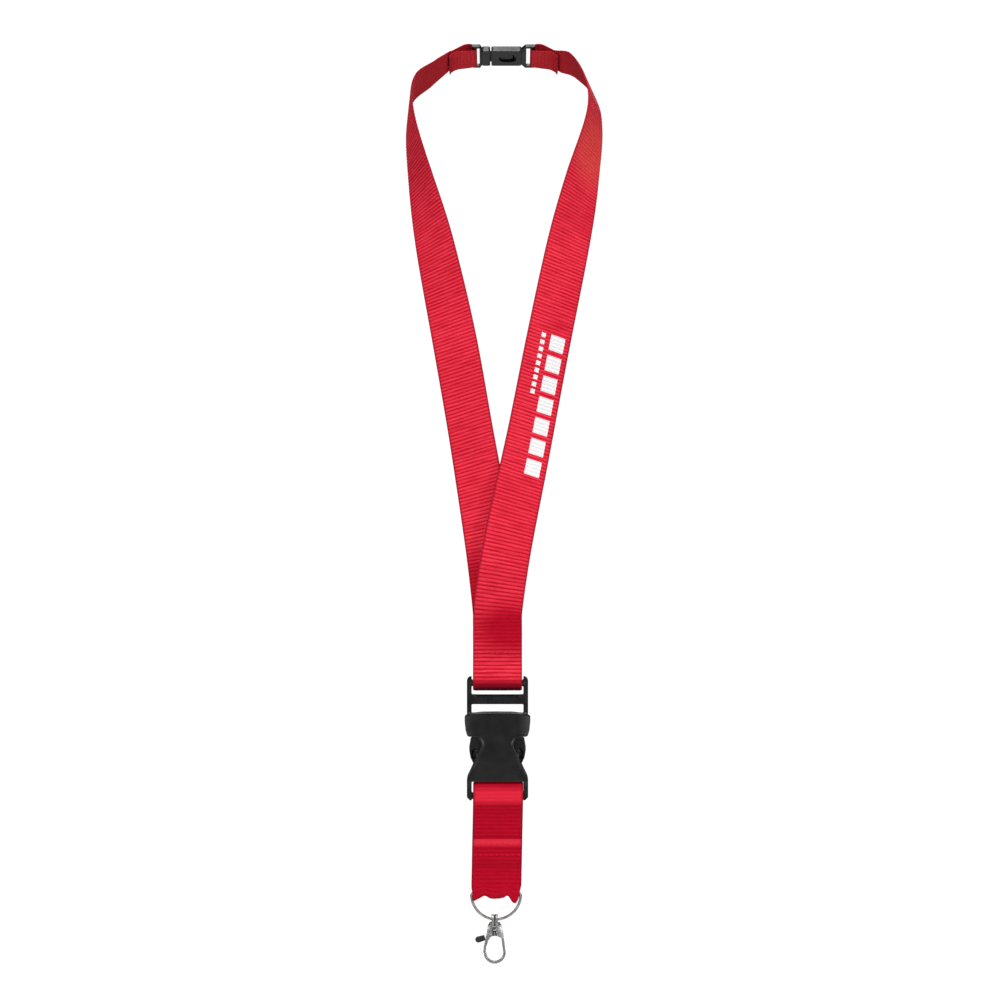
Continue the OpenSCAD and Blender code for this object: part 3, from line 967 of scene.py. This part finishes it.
@dataclass
class NeckLoop:
    """The two neck straps, the loop under the yoke, and their seams.

    A route's rows hold x, y, z, the strap's turn about its length, its lean and its width. The fold's rows
    hold the distance from the clip's bar, the depth behind the clip's middle plane and the width.
    """

    cloth: Cloth
    thread: Thread
    left_bar: float = -13.8
    right_bar: float = 20.3
    yoke_width: float = 24.5
    yoke_seam: tuple[float, float] = (-329.0, 1.27)  # its height, and half the yoke's thickness there
    end_seam: Triple = (12.0, -4.0, 1.98)  # its place past the bar, its depth, and half the layers' thickness
    loop_gap: float = 2.8
    loop_turn_z: float = -345.0
    fold: tuple[Triple, ...] = (
        (13.7, -4, 14.5), (9.2, -0.8, 14.5), (5.2, 2.1, 14), (2, 2.9, 13.4), (-0.8, 1.9, 13), (-1.7, 0, 13),
        (-0.9, -1.8, 13), (1.7, -2.5, 13.4), (5.2, -2.9, 14), (9.2, -3.4, 14.5), (12.4, -5.4, 14.5),
        (13.6, -7.4, 14.5),
    )
    left_route: tuple[tuple[float, ...], ...] = (
        (0, FRONT_Y + LAYER, STRAP_END_Z, 0, 0, 24.5),
        (0, FRONT_Y + LAYER + 0.1, STRAP_END_Z + 6, 0, 0, 24.5), (-0.5, -138.4, -305, 2, 0, 24.5),
        (-4.5, -129.8, -273, 14, 0, 25), (-13, -110, -223, 24, 0, 25), (-22.5, -92, -170, 24, 0, 25),
        (-33, -76, -120, 36, 0, 25), (-42, -61, -80, 58, 5, 25), (-48, -49, -46, 79, 16, 25),
        (-46.5, -32, -26, 88, 16, 24), (-36.5, -14, -13, 88, 26, 19.5),
    )
    right_route: tuple[tuple[float, ...], ...] = (
        (0, FRONT_Y - LAYER, STRAP_END_Z, 0, 0, 24.5),
        (0, FRONT_Y - LAYER - 0.1, STRAP_END_Z + 6, 0, 0, 24.5), (0.5, -141.6, -305, 2, 0, 24.5),
        (5.5, -135.2, -273, 14, 0, 25), (16, -114, -223, 22, 0, 25), (26.5, -96, -170, 24, 0, 25),
        (37, -79, -120, 28, 0, 25), (46, -64, -80, 46, 0, 25), (53, -51, -46, 68, 16, 25),
        (51, -32, -24, 76, 12, 24), (43, -14, -9, 80, 30, 19),
    )

    def strap(self, name: str, side: Side, material: Material) -> Object:
        """Makes one neck strap with its folded end round the clip's bar.

        Args:
            name: the piece's name.
            side: which strap it is.
            material: its finish.

        Returns:
            The strap.
        """
        left = side is Side.LEFT
        route, bar = (self.left_route, self.left_bar) if left else (self.right_route, self.right_bar)
        face = [90, 90 - math.degrees(CLIP_LEAN)]
        end = np.array([
            on_clip(bar - side.value * reach, depth) + face + [width] for reach, depth, width in self.fold
        ])
        hanging = smooth_path(np.vstack([route, end[0]]), 40)
        rows = resample(np.vstack([hanging, smooth_path(end, 16)[1:]]), self.cloth.step())
        turn, lean = np.radians(rows[:, 3]), np.radians(rows[:, 4])
        across = np.stack(
            [side.value * np.cos(turn) * np.cos(lean), -np.sin(turn) * np.cos(lean), np.sin(lean)], axis=1
        )
        return self.cloth.strip(name, rows[:, :3], across, rows[:, 5], material)

    def yoke_loop(self, material: Material) -> Object:
        """Makes the bight of webbing that turns round the buckle's bar.

        Args:
            material: its finish.

        Returns:
            The bight.
        """
        front = [(-LAYER, STRAP_END_Z), (-LAYER, -328), (-LAYER, -332), (-1.3, -337), (-2.4, -341.5)]
        turn = arc(0, self.loop_turn_z, self.loop_gap, math.pi, 2 * math.pi, 13)
        rows, across = self.cloth.hang(front + turn + [(-y, z) for y, z in reversed(front)])
        return self.cloth.strip("yoke_bight", rows, across, np.full(len(rows), self.yoke_width), material)

    def build(self, plain: Material, printed: Material, thread: Material) -> None:
        """Args:
            plain: the webbing's finish.
            printed: the same webbing with its printed motif.
            thread: the thread's finish.
        """
        right = self.strap("right_webbing", Side.RIGHT, printed)
        stand_in(right, "neck_strap_right")
        left = self.strap("left_webbing", Side.LEFT, plain)
        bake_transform(left)
        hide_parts("neck_strap_left")
        loop = self.yoke_loop(plain)
        stand_in(loop, "yoke_loop")
        seams = self.seams(thread)

    def seams(self, material: Material) -> dict[str, Object]:
        """Sews the yoke and the two folded ends.

        Args:
            material: the thread's finish.

        Returns:
            Each seam by the node that it stands for.
        """
        height, half = self.yoke_seam
        faces = [(0, FRONT_Y + y, height) for y in (-half, half)]
        sewn = {
            "yoke_stitching": self.thread.sew("yoke_zigzag", *faces, UPRIGHT, 16, 1.4, 1.95, 38, material)
        }
        leaning = Matrix.Rotation(CLIP_LEAN, 3, "X") @ Matrix.Rotation(-math.pi / 2, 3, "Y")
        past, depth, half = self.end_seam
        for side, x in (("right", self.right_bar + past), ("left", self.left_bar - past)):
            faces = [on_clip(x, depth + y) for y in (-half, half)]
            sewn[side + "_end_stitching"] = self.thread.sew(
                side + "_end_seam", *faces, leaning, 6, 2.3, 1.9, 0, material
            )
        for node, seam in sewn.items():
            stand_in(seam, node)
        return sewn


@dataclass
class DropStrap:
    """The short strap from the buckle to the D-ring: one length of webbing, lapped and sewn on its front."""

    cloth: Cloth
    thread: Thread
    top_z: float = -397.2
    bar_z: float = -449.4
    top_gap: float = 2.8
    ring_gap: float = 1.6
    flap_top: float = -422.3
    under_end: float = -433.0
    side: float = 0.35
    drift: float = -1.0
    narrowing: float = 1.5
    seam_heights: tuple[float, float] = (-424.3, -430.0)
    seam_faces: tuple[float, float] = (-2.62, 1.28)
    seam_x: float = -0.3
    scallop_x: tuple[float, ...] = (
        -12.5, -9.5, -7.2, -6.0, -3.5, -1.0, 2.0, 4.4, 5.8, 6.8, 8.0, 9.2, 10.6, 11.4, 12.5,
    )
    scallop_z: tuple[float, ...] = (
        -1.9, -0.7, 0.3, 0.6, -0.4, -0.7, -0.6, 0.0, 0.7, 0.2, -1.6, -2.4, -2.3, -1.4, 0.6,
    )
    scallop_height: float = 1.25

    def outline(self) -> Outline:
        """Draws the webbing's path: from its covered end over the buckle's bar and the D-ring's to the flap.

        Returns:
            The path as y, from the front plane, and z.
        """
        up = [(-LAYER, self.under_end), (-LAYER, -424), (-LAYER, -414), (-1.1, -409), (-2.3, -402.5)]
        over = arc(0, self.top_z, self.top_gap, math.pi, 0, 13)
        down = [(2.3, -402.5), (1.1, -409), (LAYER, -414), (LAYER, -428), (LAYER, -440), (1.0, -444.6)]
        under = arc(0, self.bar_z, self.ring_gap, 0, -math.pi, 11)
        flap = [
            (-1.0, -444.6), (-0.75, -440), (-LAYER - 0.1, -436), (-1.35, -434.2), (-1.95, -432),
            (-1.95, -427), (-2.25, self.flap_top),
        ]
        return up + over + down + under + flap

    def hem(self, rows: Array) -> Array:
        """Gathers the fold over the D-ring into soft scallops.

        Args:
            rows: the path's points.

        Returns:
            The move of each column at each point.
        """
        columns = np.array(self.cloth.columns) * self.cloth.width
        near = np.clip((-443.0 - rows[:, 2]) / 8.0, 0, 1)
        near = (near * near * (3 - 2 * near))[:, None]
        move = np.zeros((len(rows), len(columns), 3))
        move[:, :, 0] = np.clip((rows[:, 2] + 400) / -50, 0, 1)[:, None] * self.drift
        move[:, :, 1] = near * 0.35 * np.sin(columns * 1.05 + 0.6)
        move[:, :, 2] = near * self.scallop_height * np.interp(columns, self.scallop_x, self.scallop_z)
        return move

    def build(self, plain: Material, thread: Material) -> None:
        """Args:
            plain: the webbing's finish, a darker copy that paints shade on the hanging strap.
            thread: the thread's finish, a darker copy that paints shade.
        """
        rows, across = self.cloth.hang(self.outline(), self.side)
        widths = self.cloth.width - self.narrowing * np.clip((-445.5 - rows[:, 2]) / 4.0, 0, 1)
        strap = self.cloth.strip("drop_webbing", rows, across, widths, plain, self.hem(rows))
        stand_in(strap, "drop_strap")
        seams = []
        for height in self.seam_heights:
            faces = [(self.seam_x, FRONT_Y + y, height) for y in self.seam_faces]
            seams.append(self.thread.sew("drop_seam", *faces, UPRIGHT, 9, 2.7, 2.1, 0, thread))
        seam = join(seams[0], seams[1:])
        stand_in(seam, "drop_strap_stitching")


# --- hardware


@dataclass
class BreakawayClip:
    """The two halves of the clip at the nape."""

    voxel: float = 0.16

    def build(self, plastic: Material) -> None:
        """Builds and dresses both halves."""
        for node in ("breakaway_socket", "breakaway_plug"):
            dress(recast(node, node + "_moulding", self.voxel), plastic, node)


@dataclass
class SideReleaseBuckle:
    """The buckle: its crowned socket with beads round the thumb windows, the ladder frame and the arms."""

    top_z: float = -359.0
    socket_voxel: float = 0.27
    voxel: float = 0.22
    crown: float = 1.1
    half_width: float = 16.4
    window: Triple = (12.2, -16.0, 4.0)  # the thumb window's x and z from the top, and its radius
    window_edge: tuple[float, ...] = (8.6, -17.8, 12.4, -26.4)  # the straight edge below it: x, z, x, z
    bead: float = 1.3
    bead_height: float = 0.42
    bar_z: float = -352.5
    bar_half: float = 2.4
    bar_crown: float = 0.9
    hollow: tuple[float, ...] = (11.0, -379.9, 2.0, 3.2)  # the thumb pad's x, z, half width and half height
    hollow_share: float = 0.62

    def socket(self) -> Object:
        """Moulds the socket: crowned across, with a raised bead round each thumb window.

        Returns:
            The socket.
        """
        piece = recast("buckle_socket", "socket_moulding", self.socket_voxel, 4)
        rows, x, y, z = measured(piece, (0, FRONT_Y, self.top_z))
        x = np.abs(x)
        outer = np.clip((np.abs(y) - 2.2) / 1.4, 0, 1) * np.clip((z + 34) / 8, 0, 1)
        fall = self.crown * np.clip(x / self.half_width, 0, 1.05) ** 4
        cx, cz, radius = self.window
        to_round = np.abs(np.hypot(x - cx, z - cz) - radius)
        ax, az, bx, bz = self.window_edge
        dx, dz = bx - ax, bz - az
        share = np.clip(((x - ax) * dx + (z - az) * dz) / (dx * dx + dz * dz), 0, 1)
        to_edge = np.hypot(x - ax - share * dx, z - az - share * dz)
        near = np.minimum(to_round, to_edge)
        bead = self.bead_height * np.exp(-((near - 0.55) / (self.bead / 2)) ** 2)
        rows[:, 1] += np.sign(y) * outer * (bead - fall)
        move_vertices(piece, rows)
        return piece

    def shape(self, piece: Object, frame: bool) -> None:
        """Rounds the frame's ladder bar, or sinks the hollow under an arm's thumb pad.

        Args:
            piece: the frame or an arm.
            frame: whether it is the frame.
        """
        rows, x, y, z = measured(piece, (0, FRONT_Y, 0))
        x = np.abs(x)
        if frame:
            across = np.clip((z - self.bar_z) / self.bar_half, 0.0, 1.0)
            on_bar = (np.abs(z - self.bar_z) < self.bar_half + 0.4) * np.clip((11.2 - x) / 0.6, 0, 1)
            rows[:, 1] -= np.sign(y) * on_bar * self.bar_crown * across**3 * np.clip(np.abs(y) / 0.8, 0, 1)
        else:
            cx, cz, wide, tall = self.hollow
            depth = np.clip(1 - ((x - cx) / wide) ** 2 - ((z - cz) / tall) ** 2, 0, 1) ** 0.5
            rows[:, 1] -= y * self.hollow_share * depth
        move_vertices(piece, rows)

    def build(self, plastic: Material) -> None:
        """Builds and dresses the buckle's pieces.

        Args:
            plastic: their finish.
        """
        dress(self.socket(), plastic, "buckle_socket")
        for node in ("buckle_plug_frame", "buckle_arm_left", "buckle_arm_right"):
            piece = recast(node, node + "_moulding", self.voxel)
            self.shape(piece, frame=node == "buckle_plug_frame")
            dress(piece, plastic, node)


@dataclass
class DRing:
    """The wire ring: a straight bar in the strap's fold and a round bow under it."""

    bar_z: float = -449.4
    half: float = 12.3
    drop: float = 13.2
    wire: float = 1.34
    corner: float = 1.6
    side: float = -0.7

    def build(self, steel: Material) -> None:
        """Bends the wire, dresses it and stands it in for the ring.

        Args:
            steel: its finish.
        """
        bend = self.half - self.corner
        outline = arc(0, self.half - self.drop, self.half, math.pi, 2 * math.pi, 49)
        outline += arc(bend, -self.corner, self.corner, 0, math.pi / 2, 9)
        outline += [(x, 0.0) for x in np.linspace(bend, -bend, 15)[1:-1]]
        outline += arc(-bend, -self.corner, self.corner, math.pi / 2, math.pi, 9)
        path = np.array([[self.side + x, FRONT_Y, self.bar_z + z] for x, z in outline])
        dress(tube("d_ring_wire", path, self.wire / 2, closed=True), steel, "d_ring")


@dataclass
class TriggerHook:
    """The swivelling hook: its eye, body, lever, thumb tab, pin and spring."""

    side: float = -1.4
    top_z: float = -462.6
    voxel: float = 0.1
    tab_voxel: float = 0.12
    groove: float = 1.1
    eye_groove: float = 0.45
    eye_drop: float = 0.65
    lever_reach: float = 0.7
    bow_reach: float = -0.3
    coil_turns: int = 4
    coil_radius: float = 0.55
    coil_wire: float = 0.14

    def build(self, steel: Material, dull: Material, rubber: Material) -> None:
        """Builds and dresses the hook's pieces.

        Args:
            steel: the body's and the lever's finish.
            dull: the swivel's finish.
            rubber: the thumb tab's finish.
        """
        for node in ("swivel_eye", "swivel_collar", "hook_body", "gate_lever", "gate_pin"):
            piece = recast(node, node + "_casting", self.voxel)
            if node == "hook_body":
                self.carve_body(piece)
                self.close_gap(piece, self.bow_reach)
            elif node == "swivel_eye":
                self.carve_eye(piece)
            elif node == "gate_lever":
                self.close_gap(piece, self.lever_reach)
            dress(piece, dull if node.startswith("swivel") else steel, node)
        dress(recast("thumb_tab", "thumb_tab_cap", self.tab_voxel, 4), rubber, "thumb_tab")
        self.spring(steel)

    def carve_body(self, piece: Object) -> None:
        """Sinks the long groove between the body's two legs, widening towards the bow, and crowns the legs.

        Args:
            piece: the body.
        """
        rows, x, y, z = measured(piece, (self.side, FRONT_Y, self.top_z))
        down = np.clip((-3.4 - z) / 5.2, 0, 1)
        half = 0.7 + 0.8 * down
        inside = np.clip(1 - ((x + 0.3 - 0.3 * down) / half) ** 2, 0, 1)
        length = np.clip((-3.3 - z) / 0.5, 0, 1) * np.clip((z + 9.4) / 0.5, 0, 1)
        outer = np.clip((np.abs(y) - 1.0) / 0.6, 0, 1)
        inside = inside * length * outer
        # the groove's mask darkens the steel there: painted shade
        mark(piece, "sunk", np.clip(inside * 1.6 - 0.15, 0, 1))
        crowned = 0.5 * np.clip(np.abs(x) / (3.0 + 1.4 * down), 0, 1.1) ** 2 * outer
        rows[:, 1] -= np.sign(y) * (self.groove * inside + crowned)
        move_vertices(piece, rows)

    def close_gap(self, piece: Object, reach: float) -> None:
        """Lengthens the lever's tip, or the bow's end that it meets.

        Args:
            piece: the lever or the body.
            reach: how far the end moves away from the lever's pin, in millimetres.
        """
        low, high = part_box("gate_pin")
        rows, x, _, z = measured(piece, (low + high) / 2 / MM)
        radius = np.hypot(x, z)
        near = np.clip((radius - 8.3) / 0.9 if reach > 0 else (11.6 - radius) / 1.2, 0, 1)
        near = near * (x < -1.2) * (z < -8.0)
        rows[:, 0] += reach * near * x / radius
        rows[:, 2] += reach * near * z / radius
        move_vertices(piece, rows)

    def carve_eye(self, piece: Object) -> None:
        """Turns a narrow groove round the eye's barrel.

        Args:
            piece: the eye.
        """
        rows, x, y, z = measured(piece, (self.side, FRONT_Y, self.top_z - self.eye_drop))
        radius = np.hypot(y, z)
        sunk = np.exp(-((x / 0.3) ** 2)) * np.clip((radius - 2.4) / 0.6, 0, 1) * (z > -2.2)
        # the groove's mask darkens the steel there: painted shade
        mark(piece, "sunk", sunk)
        move = self.eye_groove * sunk / np.maximum(radius, 0.1)
        rows[:, 1] -= move * y
        rows[:, 2] -= move * z
        move_vertices(piece, rows)

    def spring(self, steel: Material) -> None:
        """Coils the little spring that shuts the lever.

        Args:
            steel: its finish.
        """
        t = np.linspace(0, self.coil_turns, self.coil_turns * 16 + 1)
        path = np.stack([
            self.side - 0.3 + t * 0.72,
            FRONT_Y + self.coil_radius * np.cos(2 * math.pi * t),
            self.top_z - 7.7 + self.coil_radius * np.sin(2 * math.pi * t),
        ], axis=1)
        dress(tube("gate_coil", path, self.coil_wire, 8), steel, "gate_spring")


# --- studio


@dataclass
class Studio:
    """The camera, the pale floor and the soft light. Its sizes are in metres."""

    eye: Triple = (0.00125, -1.14, -0.253)
    lens: float = 72.0
    middle: Triple = (0.0, -0.09, -0.25)
    floor_z: float = -0.9
    floor_radius: float = 1.2

    def camera(self) -> None:
        """Sets the camera level in front of the lanyard."""
        data = bpy.data.cameras.new("camera")
        data.lens = self.lens
        data.sensor_width = 36.0
        camera = add_object("camera", data)
        camera.location = self.eye
        camera.rotation_euler = (math.pi / 2, 0, 0)
        bpy.context.scene.camera = camera

    def floor(self) -> None:
        """Lays the pale floor, well under the hook."""
        rim = [(x, y, self.floor_z) for x, y in arc(0, 0, self.floor_radius, 0, 2 * math.pi, 65)[:-1]]
        mesh = bpy.data.meshes.new("floor")
        mesh.from_pydata(rim, [], [tuple(range(len(rim)))])
        mesh.materials.append(
            Shader("pale_floor").finish({"Base Color": (0.88, 0.88, 0.88, 1), "Roughness": 0.8})
        )
        add_object("floor", mesh)

    def sky(self, seen: float = 1.05, light: float = 0.32, mirrored: float = 0.26) -> None:
        """Surrounds the scene with plain white.

        Args:
            seen: how bright the backdrop looks.
            light: how strongly it lights the object.
            mirrored: how bright its front half is in reflections; the back half is dark.
        """
        world = bpy.data.worlds.new("studio")
        bpy.context.scene.world = world
        world.use_nodes = True
        nodes = Nodes(world.node_tree)
        parts = nodes.add("ShaderNodeSeparateXYZ", {0: nodes.add("ShaderNodeTexCoord").outputs["Generated"]})
        front = nodes.spread(parts.outputs["Y"], -0.2, 0.45, mirrored, 0.03)
        lit, reflected, backdrop = (
            nodes.add("ShaderNodeBackground", {"Color": WHITE, "Strength": strength}).outputs[0]
            for strength in (light, front, seen)
        )
        rays = nodes.add("ShaderNodeLightPath").outputs
        for ray, source in (("Is Glossy Ray", reflected), ("Is Camera Ray", backdrop)):
            lit = nodes.add("ShaderNodeMixShader", {0: rays[ray], 1: lit, 2: source}).outputs[0]
        nodes.plug(lit, world.node_tree.nodes["World Output"].inputs["Surface"])

    def lamp(self, name: str, place: Triple, size: float, power: float, mirrored: bool = True) -> None:
        """Hangs one soft square lamp that faces the lanyard's middle.

        Args:
            name: the lamp's name.
            place: where it hangs.
            size: its side.
            power: how strong it is.
            mirrored: whether it shows in reflections.
        """
        data = bpy.data.lights.new(name, "AREA")
        data.size = size
        data.energy = power
        lamp = add_object(name, data)
        lamp.location = place
        lamp.rotation_euler = (Vector(self.middle) - Vector(place)).to_track_quat("-Z", "Y").to_euler()
        lamp.visible_camera = False
        lamp.visible_glossy = mirrored

    def build(self) -> None:
        """Sets up the whole studio."""
        self.camera()
        self.floor()
        self.sky()
        self.lamp("overhead", (0.0, -0.8, 1.4), 2.6, 27.0, mirrored=False)
        self.lamp("top", (0.0, -0.5, 1.15), 0.5, 12.0)
        self.lamp("right", (0.6, -1.02, -0.3), 0.25, 3.4)
        self.lamp("left", (-0.62, -1.0, -0.28), 0.22, 2.4)
        self.lamp("behind", (0.1, 1.2, 0.7), 1.0, 8.0)
        settings = bpy.context.scene.view_settings
        settings.view_transform = "Standard"
        settings.look = "None"


def main() -> None:
    """Builds the lanyard, piece by piece, in its studio."""
    logging.basicConfig(level=logging.INFO, format="%(name)s: %(message)s")
    Studio().build()
    plain = WebbingFinish(patches=(YOKE_SHADE, BEHIND_SHADOW, BIGHT_HALF_SHADE, BIGHT_SHADE)).material()
    printed = WebbingFinish(name="red_webbing_printed", printed=True).material()
    thread = ThreadFinish().material()
    plastic = PlasticFinish().material()
    rubber = PlasticFinish(
        name="tab_rubber", colour=(0.014, 0.014, 0.014, 1), roughness=0.6, grain=0.3
    ).material()
    steel = SteelFinish().material()
    dull = SteelFinish(
        name="dull_nickel", bright=(0.42, 0.415, 0.41, 1), dull=(0.24, 0.237, 0.234, 1), roughness=(0.4, 0.52)
    ).material()
    # The drop strap's webbing is a darker copy: painted shade, as it hangs upright away from the overhead
    # light, with painted highlights at its top turn and the flap's top.
    shaded_drop_webbing = WebbingFinish(
        name="red_webbing_shaded", rib_red=(0.44, 0.0005, 0.018, 1), groove_shade_red=(0.34, 0.0003, 0.011, 1),
        patches=(DROP_TOP_HIGHLIGHT, FLAP_HIGHLIGHT),
    ).material()
    # The drop strap's thread is a darker copy too: painted shade.
    shaded_drop_thread = ThreadFinish(
        name="shaded_red_thread", colour=(0.60, 0.006, 0.028, 1), shade=(0.42, 0.001, 0.014, 1)
    ).material()
    needle = Thread()
    NeckLoop(Cloth(), needle).build(plain, printed, thread)
    inner = tuple(round(-0.46 + 0.04 * k, 2) for k in range(24))
    fine = Cloth(rib_height=0.17, columns=(-0.5, -0.492, *inner, 0.492, 0.5))
    DropStrap(fine, needle).build(shaded_drop_webbing, shaded_drop_thread)
    BreakawayClip().build(plastic)
    SideReleaseBuckle().build(plastic)
    DRing().build(dull)
    TriggerHook().build(steel, dull, rubber)


if __name__ == "__main__":
    main()
